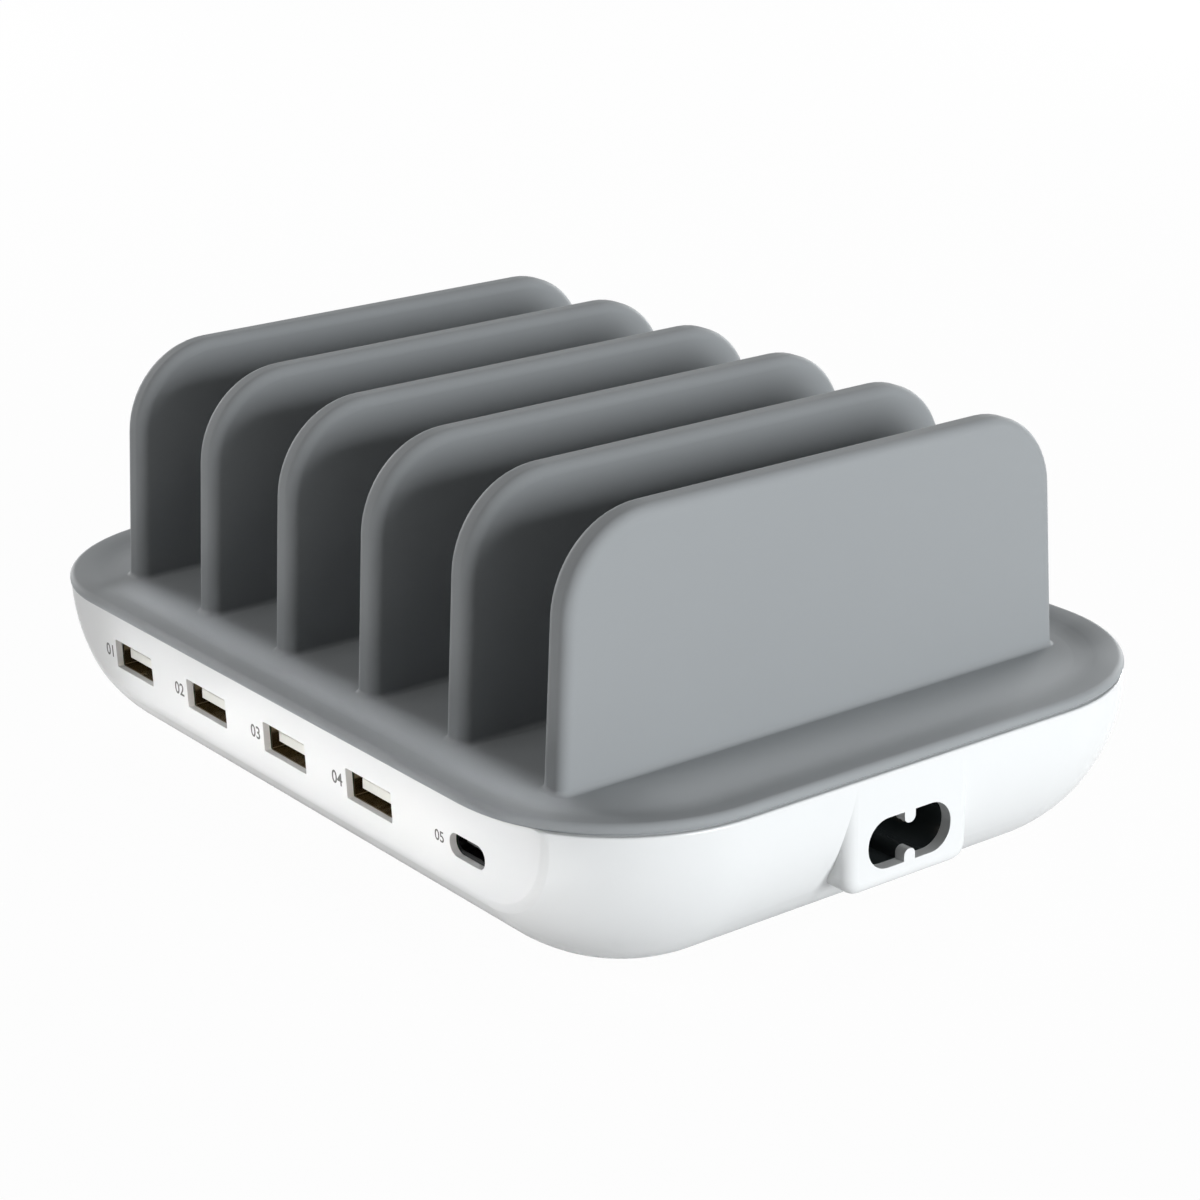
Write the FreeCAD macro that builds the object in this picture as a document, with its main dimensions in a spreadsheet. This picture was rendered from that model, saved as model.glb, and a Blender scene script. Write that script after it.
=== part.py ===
import FreeCAD, Part
import itertools
import math
import operator
import os
import Sketcher

# A charging station organizer. A white bowl-shaped base carries a row of sockets on a flat front panel and
# a mains inlet on its right side. A gray cover with six upright dividers closes it, and a mains power
# supply and a socket board lie between the two.
# Frame: +X to the right along the sockets, +Y to the back, +Z up, origin on the floor under the middle.

Vector = FreeCAD.Vector
upright = Vector(0, 0, 1)
doc = FreeCAD.newDocument("charging_station_organizer")
sheet = doc.addObject("Spreadsheet::Sheet", "Sizes")
rows = itertools.count(1)
nodes = []


class Size:
    """A length, angle or ratio: its number, and the expression that ties it to the sheet."""

    signs = {"+": operator.add, "-": operator.sub, "*": operator.mul, "/": operator.truediv}

    def __init__(self, number, text=None):
        self.number = number
        self.text = text or f"({number!r})"

    def join(self, sign, other, swapped=False):
        other = other if isinstance(other, Size) else Size(other)
        first, second = (other, self) if swapped else (self, other)
        return Size(Size.signs[sign](first.number, second.number), f"({first.text} {sign} {second.text})")

    def __add__(self, other):
        return self.join("+", other)

    def __radd__(self, other):
        return self.join("+", other, swapped=True)

    def __sub__(self, other):
        return self.join("-", other)

    def __rsub__(self, other):
        return self.join("-", other, swapped=True)

    def __mul__(self, other):
        return self.join("*", other)

    def __rmul__(self, other):
        return self.join("*", other, swapped=True)

    def __truediv__(self, other):
        return self.join("/", other)

    def __neg__(self):
        return self * -1


def size(alias, number):
    """Keep one driving dimension in the next row of the sheet."""
    cell = f"A{next(rows)}"
    sheet.set(cell, str(number))
    sheet.setAlias(cell, alias)
    return Size(number, f"Sizes.{alias}")


def tangent(angle):
    return Size(math.tan(math.radians(angle.number)), f"tan({angle.text} * 1 deg)")


# Case
case_length = size("case_length", 173.1)
case_depth = size("case_depth", 125.6)
base_height = size("base_height", 30.0)
rim_band = size("rim_band", 0.8)  # upright band under the rim, above the round of the bowl
bottom_corner = size("bottom_corner", 0.9)  # corner radius of the flat bottom
wall = size("wall", 2.0)
foot_height = size("foot_height", 2.0)  # how far the feet stand out under the base
foot_diameter = size("foot_diameter", 11.0)
foot_recess = size("foot_recess", 0.8)
foot_chamfer = size("foot_chamfer", 0.6)
foot_edge = size("foot_edge", 0.85)  # flat left between a foot and the round of the bowl
foot_gap = size("foot_gap", 0.15)
seam_round = size("seam_round", 0.35)  # on the base and on the cover, where they meet
seam_gap = size("seam_gap", 0.5)  # shadow line round the case, between the two
seam_depth = size("seam_depth", 1.0)

# Port panel and inlet boss
panel_setback = size("panel_setback", 4.2)  # from the front edge of the rim
panel_lean = size("panel_lean", 2.0)  # degrees, the foot of the panel further back
panel_wall = size("panel_wall", 1.2)
panel_round = size("panel_round", 3.0)
boss_round = size("boss_round", 2.0)  # round the face of the boss
boss_corner = size("boss_corner", 3.0)
boss_wall = size("boss_wall", 2.0)
inlet_shift = size("inlet_shift", -1.0)  # middle of the inlet, along the side

# Cover
lip_height = size("lip_height", 2.0)
lip_round = size("lip_round", 1.0)
lip_width = size("lip_width", 2.8)
dish_depth = size("dish_depth", 1.0)
dish_slope = size("dish_slope", 75.0)  # degrees, from upright
dish_round = size("dish_round", 12.0)
plate_thickness = size("plate_thickness", 2.2)
skirt_depth = size("skirt_depth", 3.0)
skirt_wall = size("skirt_wall", 1.5)
cover_gap = size("cover_gap", 0.2)
fin_thickness = size("fin_thickness", 5.2)
fin_margin = size("fin_margin", 21.2)  # from the outer dividers to the sides of the case
fin_end_margin = size("fin_end_margin", 12.2)  # from their feet to its front and back
fin_height = size("fin_height", 42.3)  # above the rim
fin_draft = size("fin_draft", 3.8)  # degrees, how far the ends of a divider lean in
fin_front_corner = size("fin_front_corner", 16.0)
fin_back_corner = size("fin_back_corner", 14.0)
fin_flat = size("fin_flat", 1.6)  # left along the edge of a divider, between its rounds
fin_foot_round = size("fin_foot_round", 0.8)
fin_core = size("fin_core", 1.4)  # width of the hollow in each divider
fin_skin = size("fin_skin", 2.2)  # wall between that hollow and the edge of the divider
fin_count = 6

# Sockets
port_drop = size("port_drop", 9.9)  # from the rim to the middle of the sockets
socket_gap = size("socket_gap", 0.15)
socket_overhang = size("socket_overhang", 1.0)  # over the front edge of the port board
usb_a_reveal_x = size("usb_a_reveal_x", 0.2)  # from the mouth of a socket to its cut-out, along X
usb_a_reveal_z = size("usb_a_reveal_z", 0.065)
usb_a_cut_corner = size("usb_a_cut_corner", 0.3)
usb_a_mouth_width = size("usb_a_mouth_width", 12.5)
usb_a_mouth_height = size("usb_a_mouth_height", 5.12)
usb_a_corner = size("usb_a_corner", 0.4)
usb_a_sheet = size("usb_a_sheet", 0.3)
usb_a_length = size("usb_a_length", 13.0)
tongue_side = size("tongue_side", 0.7)  # from the tongue to the side of the shell
tongue_thickness = size("tongue_thickness", 1.84)
tongue_gap = size("tongue_gap", 0.7)  # from the roof of the shell
tongue_recess = size("tongue_recess", 1.2)
tongue_length = size("tongue_length", 8.4)
contact_width = size("contact_width", 1.0)
contact_thickness = size("contact_thickness", 0.2)
contact_pitch = size("contact_pitch", 2.2)
contact_inset = size("contact_inset", 0.6)  # from the tip of the tongue
usb_c_shift = size("usb_c_shift", 1.8)  # to the right of the last slot's middle
usb_c_reveal_x = size("usb_c_reveal_x", 0.43)
usb_c_reveal_z = size("usb_c_reveal_z", 0.67)
usb_c_mouth_width = size("usb_c_mouth_width", 8.34)
usb_c_mouth_height = size("usb_c_mouth_height", 2.56)
usb_c_sheet = size("usb_c_sheet", 0.3)
usb_c_length = size("usb_c_length", 7.4)
usb_c_tongue_side = size("usb_c_tongue_side", 0.82)
usb_c_tongue_thickness = size("usb_c_tongue_thickness", 0.7)
usb_c_tongue_recess = size("usb_c_tongue_recess", 0.9)
usb_c_tongue_length = size("usb_c_tongue_length", 4.4)
usb_c_contact_width = size("usb_c_contact_width", 0.25)
usb_c_contact_thickness = size("usb_c_contact_thickness", 0.06)
usb_c_contact_pitch = size("usb_c_contact_pitch", 0.5)
usb_c_contact_inset = size("usb_c_contact_inset", 0.9)
usb_c_wall = size("usb_c_wall", 0.8)  # of the insulator behind the shell
slot_flat = size("slot_flat", 0.2)  # short upright left between the rounds of a slot's end

# Mains inlet
inlet_drop = size("inlet_drop", 11.45)
inlet_cut_width = size("inlet_cut_width", 16.8)
inlet_cut_height = size("inlet_cut_height", 8.2)
tab_width = size("tab_width", 2.2)
tab_length = size("tab_length", 1.95)
inlet_wall = size("inlet_wall", 1.0)
inlet_room = size("inlet_room", 0.25)  # between the socket and the floor of its boss
inlet_cavity = size("inlet_cavity", 12.5)
inlet_back = size("inlet_back", 2.5)
ear_width = size("ear_width", 0.8)
ear_gap = size("ear_gap", 0.3)
ear_thickness = size("ear_thickness", 1.6)
pin_diameter = size("pin_diameter", 2.4)
pin_gap = size("pin_gap", 0.1)
pin_spacing = size("pin_spacing", 8.6)
pin_reach = size("pin_reach", 9.0)
pin_tip = size("pin_tip", 0.7)  # length of the tapered tip
tag_length = size("tag_length", 5.0)
saddle_length = size("saddle_length", 9.0)
saddle_wall = size("saddle_wall", 2.5)
rib_thickness = size("rib_thickness", 2.0)
rib_width = size("rib_width", 10.0)

# Fasteners and their posts
screw_diameter = size("screw_diameter", 3.0)
screw_gap = size("screw_gap", 0.2)  # added to the diameter of every screw hole
head_diameter = size("head_diameter", 5.6)
head_height = size("head_height", 2.0)
head_gap = size("head_gap", 0.6)
board_screw_length = size("board_screw_length", 6.0)
case_screw_length = size("case_screw_length", 16.0)
thread_run_out = size("thread_run_out", 0.6)  # hole left beyond the end of a screw
column_height = size("column_height", 12.0)
column_diameter = size("column_diameter", 9.0)
column_gap = size("column_gap", 0.3)  # from the columns to the boards
head_seat = size("head_seat", 3.5)  # from the underside of the base to the seat of the case screw heads
boss_diameter = size("boss_diameter", 8.0)
post_diameter = size("post_diameter", 6.0)

# Boards and leads
board_thickness = size("board_thickness", 1.6)
port_board_end = size("port_board_end", 24.55)  # from its ends to the sides of the case
port_board_depth = size("port_board_depth", 23.6)
port_board_margin = size("port_board_margin", 5.0)
power_board_length = size("power_board_length", 90.0)
power_board_depth = size("power_board_depth", 58.5)
power_board_middle = size("power_board_middle", 7.25)  # along Y
power_board_margin = size("power_board_margin", 4.0)
power_post_height = size("power_post_height", 4.0)
lead_diameter = size("lead_diameter", 1.2)
lead_bend = size("lead_bend", 4.0)
mains_inset = size("mains_inset", 9.0)  # from the right edge of the power board to the mains leads
output_inset = size("output_inset", 2.5)  # from its front edge to the output leads
port_inset = size("port_inset", 8.0)  # from the back edge of the port board to their other ends
lead_rise = size("lead_rise", 7.0)  # of the output leads above the port board
lead_pitch = size("lead_pitch", 5.0)
chip_length = size("chip_length", 4.9)
chip_width = size("chip_width", 3.9)
chip_height = size("chip_height", 1.5)
chip_gap = size("chip_gap", 0.45)  # from the back of the sockets

# Power supply components, in a front, a middle and a back row on the power board
front_inset = size("front_inset", 4.0)  # from the front edge of the board to the front row
back_inset = size("back_inset", 2.0)
fuse_diameter = size("fuse_diameter", 5.0)
fuse_length = size("fuse_length", 16.0)
fuse_x = size("fuse_x", 23.0)
seat_gap = size("seat_gap", 0.1)  # under a round body that lies on a board
x_capacitor_length = size("x_capacitor_length", 17.0)
x_capacitor_width = size("x_capacitor_width", 8.0)
x_capacitor_height = size("x_capacitor_height", 13.0)
x_capacitor_x = size("x_capacitor_x", 21.5)
choke_length = size("choke_length", 20.0)
choke_height = size("choke_height", 14.0)
choke_leg = size("choke_leg", 4.0)
choke_depth = size("choke_depth", 5.0)
choke_turns = size("choke_turns", 1.8)  # thickness of the winding on each leg
choke_gap = size("choke_gap", 0.15)
choke_x = size("choke_x", 13.0)
bridge_length = size("bridge_length", 8.4)
bridge_width = size("bridge_width", 6.4)
bridge_height = size("bridge_height", 3.3)
bridge_x = size("bridge_x", 8.5)
bulk_diameter = size("bulk_diameter", 12.5)
bulk_height = size("bulk_height", 15.0)
bulk_x = size("bulk_x", -4.0)
bulk_pitch = size("bulk_pitch", 14.5)
core_length = size("core_length", 25.0)
core_height = size("core_height", 15.0)
core_depth = size("core_depth", 7.0)
core_leg = size("core_leg", 3.5)
core_middle_leg = size("core_middle_leg", 7.0)
bobbin_wall = size("bobbin_wall", 0.8)
bobbin_gap = size("bobbin_gap", 0.15)
winding_margin = size("winding_margin", 0.6)
transformer_x = size("transformer_x", -17.5)
sink_length = size("sink_length", 21.0)
sink_plate = size("sink_plate", 2.0)
sink_height = size("sink_height", 14.0)
sink_rib = size("sink_rib", 1.2)
sink_rib_reach = size("sink_rib_reach", 6.0)
sink_x = size("sink_x", -0.5)
sink_rib_count = 5
transistor_width = size("transistor_width", 10.0)
transistor_tab = size("transistor_tab", 1.3)
transistor_tab_height = size("transistor_tab_height", 12.0)
transistor_body = size("transistor_body", 3.2)
transistor_body_height = size("transistor_body_height", 9.0)
transistor_leg = size("transistor_leg", 0.8)
transistor_leg_length = size("transistor_leg_length", 2.0)
transistor_leg_pitch = size("transistor_leg_pitch", 2.54)
output_diameter = size("output_diameter", 10.0)
output_height = size("output_height", 14.0)
output_x = size("output_x", -30.0)
output_pitch = size("output_pitch", 11.0)
opto_length = size("opto_length", 6.5)
opto_width = size("opto_width", 4.6)
opto_height = size("opto_height", 3.5)
opto_x = size("opto_x", -2.0)

# Levels and lines that several pieces share
half_length = case_length / 2
half_depth = case_depth / 2
bowl_radius = base_height - rim_band
corner_radius = bowl_radius + bottom_corner
rim = foot_height + base_height
inner_floor = foot_height + wall
dish_level = rim + lip_height - dish_depth
ceiling = dish_level - plate_thickness
column_top = foot_height + column_height
port_level = rim - port_drop
port_board_top = port_level - usb_a_mouth_height / 2 - usb_a_sheet
power_board_top = inner_floor + power_post_height + board_thickness
inlet_level = rim - inlet_drop
hole_diameter = screw_diameter + screw_gap
fin_pitch = (case_length - fin_thickness - 2 * fin_margin) / (fin_count - 1)
fin_length = case_depth - 2 * fin_end_margin
slots = [(index - 2) * fin_pitch for index in range(fin_count - 1)]
usb_a_places = slots[:4]
usb_c_place = slots[4] + usb_c_shift
foot_inset = bowl_radius + foot_edge + foot_diameter / 2
foot_places = [(x * (half_length - foot_inset), y * (half_depth - foot_inset))
               for y in (-1, 1) for x in (-1, 1)]
inlet_width = inlet_cut_width + 2 * inlet_wall
inlet_height = inlet_cut_height + 2 * inlet_wall
inlet_depth = inlet_cavity + inlet_back
boss_width = inlet_width + 2 * (ear_width + ear_gap + boss_wall)
boss_drop = inlet_drop + inlet_height / 2 + inlet_room + boss_wall
nothing = Size(0)


def panel_y(drop):
    """Y of the panel's outer face, so far below the rim."""
    return panel_setback - half_depth + tangent(panel_lean) * drop


usb_a_half = usb_a_mouth_height / 2 + usb_a_sheet
socket_front = panel_y(port_drop + usb_a_half) + panel_wall + socket_gap
port_board_front = socket_front + socket_overhang
port_board_back = port_board_front + port_board_depth
power_board_front = power_board_middle - power_board_depth / 2
power_board_back = power_board_middle + power_board_depth / 2


# Tools of the trade


def bind(piece, **sizes):
    for name, amount in sizes.items():
        piece.setExpression(name, amount.text)


def place(piece, x, y, z):
    for axis, where in zip("xyz", (x, y, z)):
        piece.setExpression(f"Placement.Base.{axis}", where.text)


def node(piece, label):
    """Keep a finished sub-part under its own name."""
    piece.Label = label
    nodes.append(piece)
    return piece


def block(x, y, z, length, width, height):
    """A box with its underside's middle at x, y, z."""
    piece = doc.addObject("Part::Box", "block")
    bind(piece, Length=length, Width=width, Height=height)
    place(piece, x - length / 2, y - width / 2, z)
    return piece


def rod(x, y, z, diameter, length, turn=None):
    """A round rod from x, y, z, upright or turned."""
    piece = doc.addObject("Part::Cylinder", "rod")
    if turn:
        piece.Placement = FreeCAD.Placement(Vector(), turn)
    bind(piece, Radius=diameter / 2, Height=length)
    place(piece, x, y, z)
    return piece


def taper(x, y, z, diameter, end_diameter, length, turn=None):
    """A round rod whose diameter changes evenly from end to end."""
    piece = doc.addObject("Part::Cone", "taper")
    if turn:
        piece.Placement = FreeCAD.Placement(Vector(), turn)
    bind(piece, Radius1=diameter / 2, Radius2=end_diameter / 2, Height=length)
    place(piece, x, y, z)
    return piece


def cut(base, *tools):
    piece = doc.addObject("Part::Cut", "cut")
    piece.Base = base
    piece.Tool = tools[0] if len(tools) == 1 else fuse(*tools)
    return piece


def fuse(*pieces):
    piece = doc.addObject("Part::MultiFuse", "union")
    piece.Shapes = list(pieces)
    return piece


def group(*pieces):
    piece = doc.addObject("Part::Compound", "group")
    piece.Links = list(pieces)
    return piece


def new_body(name):
    return doc.addObject("PartDesign::Body", name)


def origin_item(body, role):
    return next(item for item in body.Origin.OriginFeatures if item.Role == role)


def sketch_on(body, role, offset):
    """A sketch on one of the body's own planes, moved along that plane's normal."""
    sketch = body.newObject("Sketcher::SketchObject", "sketch")
    sketch.AttachmentSupport = [(origin_item(body, role), "")]
    sketch.MapMode = "FlatFace"
    sketch.setExpression("AttachmentOffset.Base.z", offset.text)
    return sketch


def hold(sketch, constraint, amount):
    """Add a constraint whose value follows the sheet."""
    index = sketch.addConstraint(constraint)
    sketch.setExpression(f"Constraints[{index}]", amount.text)


def hold_point(sketch, item, end, x, y):
    hold(sketch, Sketcher.Constraint("DistanceX", -1, 1, item, end, x.number), x)
    hold(sketch, Sketcher.Constraint("DistanceY", -1, 1, item, end, y.number), y)


def outline(sketch, left, right, low, high, low_radius=None, high_radius=None):
    """Draw a rectangle held by its four sides, its lower or upper corners round where a radius is given."""
    corners = [(left, low, low_radius), (right, low, low_radius),
               (right, high, high_radius), (left, high, high_radius)]
    middle = Vector((left.number + right.number) / 2, (low.number + high.number) / 2, 0)
    lines, arcs = [], []
    for index, (x, y, radius) in enumerate(corners):
        next_x, next_y, next_radius = corners[(index + 1) % 4]
        start = Vector(x.number, y.number, 0)
        end = Vector(next_x.number, next_y.number, 0)
        along = (end - start).normalize()
        start += along * (radius.number if radius else 0)
        end -= along * (next_radius.number if next_radius else 0)
        lines.append(sketch.addGeometry(Part.LineSegment(start, end), False))
    for index, (x, y, radius) in enumerate(corners):
        before, after = lines[index - 1], lines[index]
        if not radius:
            sketch.addConstraint(Sketcher.Constraint("Coincident", before, 2, after, 1))
            continue
        reach = radius.number
        centre = Vector(x.number, y.number, 0)
        to_middle = middle - centre
        centre += Vector(math.copysign(reach, to_middle.x), math.copysign(reach, to_middle.y), 0)
        turn = math.pi + index * math.pi / 2
        round_corner = Part.ArcOfCircle(Part.Circle(centre, upright, reach), turn, turn + math.pi / 2)
        arc = sketch.addGeometry(round_corner, False)
        sketch.addConstraint(Sketcher.Constraint("Tangent", before, 2, arc, 1))
        sketch.addConstraint(Sketcher.Constraint("Tangent", arc, 2, after, 1))
        arcs.append((arc, radius))
    for line, way in zip(lines, ("Horizontal", "Vertical", "Horizontal", "Vertical")):
        sketch.addConstraint(Sketcher.Constraint(way, line))
    for arc, radius in arcs:
        hold(sketch, Sketcher.Constraint("Radius", arc, radius.number), radius)
    hold(sketch, Sketcher.Constraint("DistanceY", -1, 1, lines[0], 1, low.number), low)
    hold(sketch, Sketcher.Constraint("DistanceX", -1, 1, lines[1], 1, right.number), right)
    hold(sketch, Sketcher.Constraint("DistanceY", -1, 1, lines[2], 1, high.number), high)
    hold(sketch, Sketcher.Constraint("DistanceX", -1, 1, lines[3], 1, left.number), left)


def polygon(sketch, points):
    """Draw a closed outline of straight sides through points."""
    flat = [Vector(x.number, y.number, 0) for x, y in points]
    lines = [sketch.addGeometry(Part.LineSegment(p, q), False) for p, q in zip(flat, flat[1:] + flat[:1])]
    for index, line in enumerate(lines):
        sketch.addConstraint(Sketcher.Constraint("Coincident", lines[index - 1], 2, line, 1))
    for line, (x, y) in zip(lines, points):
        hold_point(sketch, line, 1, x, y)


def circle(sketch, x, y, diameter):
    ring = Part.Circle(Vector(x.number, y.number, 0), upright, diameter.number / 2)
    item = sketch.addGeometry(ring, False)
    hold_point(sketch, item, 3, x, y)
    hold(sketch, Sketcher.Constraint("Diameter", item, diameter.number), diameter)


def extrude(body, kind, sketch, length, back=False, both=False, taper=None):
    """Pad or pocket a sketch: along its normal or back, or half each way."""
    feature = body.newObject(f"PartDesign::{kind}", kind.lower())
    feature.Profile = sketch
    feature.Reversed = back
    if both:
        feature.SideType = "Symmetric"
    bind(feature, Length=length)
    if taper:
        bind(feature, TaperAngle=taper)
    doc.recompute()
    return feature


def repeat(body, features, spacing, count):
    """Copy features along +X."""
    pattern = body.newObject("PartDesign::LinearPattern", "pattern")
    pattern.Originals = features
    pattern.Direction = (origin_item(body, "X_Axis"), [""])
    pattern.Occurrences = count
    bind(pattern, Length=spacing * (count - 1))
    body.Tip = pattern
    doc.recompute()
    return pattern


def round_edges(body, radius, wanted):
    """Round each edge of the body so far that the test wants."""
    base = body.Tip
    names = [f"Edge{i}" for i, edge in enumerate(base.Shape.Edges, 1) if wanted(edge)]
    feature = body.newObject("PartDesign::Fillet", "fillet")
    feature.Base = (base, names)
    bind(feature, Radius=radius)
    doc.recompute()
    return feature


def lies_at(edge, level):
    box = edge.BoundBox
    return abs(box.ZMin - level.number) < 1e-4 and abs(box.ZMax - level.number) < 1e-4


def rises_above(edge, level):
    return edge.BoundBox.ZMax > level.number + 1e-4


def lies_within(edge, half_x, half_y):
    box = edge.BoundBox
    return max(-box.XMin, box.XMax) < half_x.number and max(-box.YMin, box.YMax) < half_y.number


def lies_on_panel(edge):
    return all(abs(panel_y(rim - point.z).number - point.y) < 1e-4 for point in edge.discretize(5))


# Base: the bowl, its port panel and its inlet boss, hollowed to an even wall


def bowl(name, inset, top):
    """The form of the base, inset all round, from its floor up to a level."""
    body = new_body(name)
    floor = foot_height + inset
    sketch = sketch_on(body, "XY_Plane", floor)
    x, y = half_length - inset, half_depth - inset
    outline(sketch, -x, x, -y, y, corner_radius - inset, corner_radius - inset)
    extrude(body, "Pad", sketch, top - floor)
    round_edges(body, bowl_radius - inset, lambda edge: lies_at(edge, floor))
    return body


def boss(name, inset, top):
    """The flat-faced boss that carries the inlet, out to the right side of the rim."""
    body = new_body(name)
    reach = bowl_radius / 2
    face = half_length - inset
    half = boss_width / 2 - inset
    sketch = sketch_on(body, "YZ_Plane", face - reach)
    low = rim - boss_drop + inset
    outline(sketch, inlet_shift - half, inlet_shift + half, low, top, boss_corner - inset)
    extrude(body, "Pad", sketch, reach)
    return body


def flatten_front(body, inset, top):
    """Cut the bowl back to the leaning plane of the port panel."""
    sketch = sketch_on(body, "YZ_Plane", nothing)
    front = -half_depth - wall
    above = top - rim
    polygon(sketch, [(front, top), (front, foot_height),
                     (panel_y(base_height) + inset, foot_height), (panel_y(-above) + inset, top)])
    extrude(body, "Pocket", sketch, case_length, both=True)


outer_bowl = bowl("base_outer", nothing, rim)
flatten_front(outer_bowl, nothing, rim)
round_edges(outer_bowl, panel_round, lambda edge: lies_on_panel(edge) and not lies_at(edge, rim))
round_edges(outer_bowl, seam_round, lambda edge: lies_at(edge, rim) and not lies_on_panel(edge))
outer_boss = boss("boss_outer", nothing, rim - rim_band)
round_edges(outer_boss, boss_round, lambda edge: edge.BoundBox.XMin > half_length.number - 1e-4
            and not lies_at(edge, rim - rim_band))
above_rim = rim + lip_height
inner_bowl = bowl("base_inner", wall, above_rim)
flatten_front(inner_bowl, panel_wall, above_rim)
cavity = fuse(inner_bowl, boss("boss_inner", boss_wall, above_rim))

inlet_face = half_length - boss_wall - socket_gap
saddle_front = inlet_face - ear_thickness - socket_gap
saddle_middle = saddle_front - saddle_length / 2
saddle = cut(
    block(saddle_middle, inlet_shift, foot_height,
          saddle_length, inlet_width + 2 * saddle_wall, inlet_level - foot_height),
    block(saddle_middle, inlet_shift, inlet_level - inlet_height / 2 - socket_gap,
          saddle_length, inlet_width + 2 * socket_gap, inlet_height))

port_screw_lines = (port_board_front + port_board_margin, port_board_back - port_board_margin)
port_screw_places = [(x, y) for y in port_screw_lines
                     for x in ((slots[0] + slots[1]) / 2, (slots[3] + slots[4]) / 2)]
power_screw_x = power_board_length / 2 - power_board_margin
power_screw_places = [(side * power_screw_x, power_board_middle) for side in (-1, 1)]
power_post_top = power_board_top - board_thickness
port_post_top = port_board_top - board_thickness


def posts(places, diameter, top):
    """Round posts from the floor of the base up to a level."""
    return [rod(x, y, foot_height, diameter, top - foot_height) for x, y in places]


inside = cut(cavity, saddle,
             *posts(foot_places, column_diameter, column_top),
             *posts(power_screw_places, post_diameter, power_post_top),
             *posts(port_screw_places, post_diameter, port_post_top))
hollow = cut(fuse(outer_bowl, outer_boss), inside)


def socket_openings():
    """The cut-outs of the front panel: four for USB-A and a slot for USB-C."""
    body = new_body("socket_openings")
    front = -half_depth
    sketch = sketch_on(body, "XZ_Plane", -front)
    half_width, half_height = usb_a_mouth_width / 2 + usb_a_reveal_x, usb_a_mouth_height / 2 + usb_a_reveal_z
    cuts = [(x, half_width, half_height, usb_a_cut_corner) for x in usb_a_places]
    half_width, half_height = usb_c_mouth_width / 2 + usb_c_reveal_x, usb_c_mouth_height / 2 + usb_c_reveal_z
    cuts.append((usb_c_place, half_width, half_height, half_height - slot_flat / 2))
    for x, half_width, half_height, radius in cuts:
        outline(sketch, x - half_width, x + half_width, port_level - half_height, port_level + half_height,
                radius, radius)
    extrude(body, "Pad", sketch, socket_front - front, back=True)
    return body


def draw_inlet_slot(sketch):
    """The inlet's stadium, without its waist."""
    half_width, half_height = inlet_cut_width / 2, inlet_cut_height / 2
    slot_round = half_height - slot_flat / 2
    outline(sketch, inlet_shift - half_width, inlet_shift + half_width,
            inlet_level - half_height, inlet_level + half_height, slot_round, slot_round)


def draw_inlet_tabs(sketch, overlap):
    """The two round-ended tabs that narrow the waist of the figure 8, let into the wall around it."""
    left, right = inlet_shift - tab_width / 2, inlet_shift + tab_width / 2
    tip = tab_width / 2 - slot_flat / 2
    low, high = inlet_level - inlet_cut_height / 2, inlet_level + inlet_cut_height / 2
    outline(sketch, left, right, low - overlap, low + tab_length, None, tip)
    outline(sketch, left, right, high - tab_length, high + overlap, tip)


def inlet_opening():
    """The figure-8 cut-out of the boss."""
    body = new_body("inlet_opening")
    behind = inlet_face
    sketch = sketch_on(body, "YZ_Plane", behind)
    draw_inlet_slot(sketch)
    extrude(body, "Pad", sketch, half_length + wall - behind)
    sketch = sketch_on(body, "YZ_Plane", behind)
    draw_inlet_tabs(sketch, wall)
    extrude(body, "Pocket", sketch, half_length + wall - behind, back=True)
    return body


def screw_holes():
    """Holes down the posts and up the columns, with seats for the screw heads and recesses for the feet."""
    holes = []
    depth = board_screw_length - board_thickness + thread_run_out
    for places, top in ((power_screw_places, power_post_top), (port_screw_places, port_post_top)):
        holes += [rod(x, y, top - depth, hole_diameter, depth) for x, y in places]
    for x, y in foot_places:
        holes.append(rod(x, y, foot_height, hole_diameter, column_height))
        holes.append(rod(x, y, foot_height, head_diameter + head_gap, head_seat))
        holes.append(rod(x, y, foot_height, foot_diameter + 2 * foot_gap, foot_recess))
    return holes


node(cut(hollow, socket_openings(), inlet_opening(), *screw_holes()), "base_shell")


# Cover: a dished plate with a rounded lip, six hollow dividers, a skirt inside the base and screw bosses


def draw_skirt(sketch, gap):
    """The base's inner outline at the rim, less a gap, with its front behind the port panel."""
    side, back = half_length - wall - gap, half_depth - wall - gap
    front = panel_y(skirt_depth) + panel_wall + gap
    radius = corner_radius - wall - gap
    outline(sketch, -side, side, front, back, radius, radius)


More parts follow.
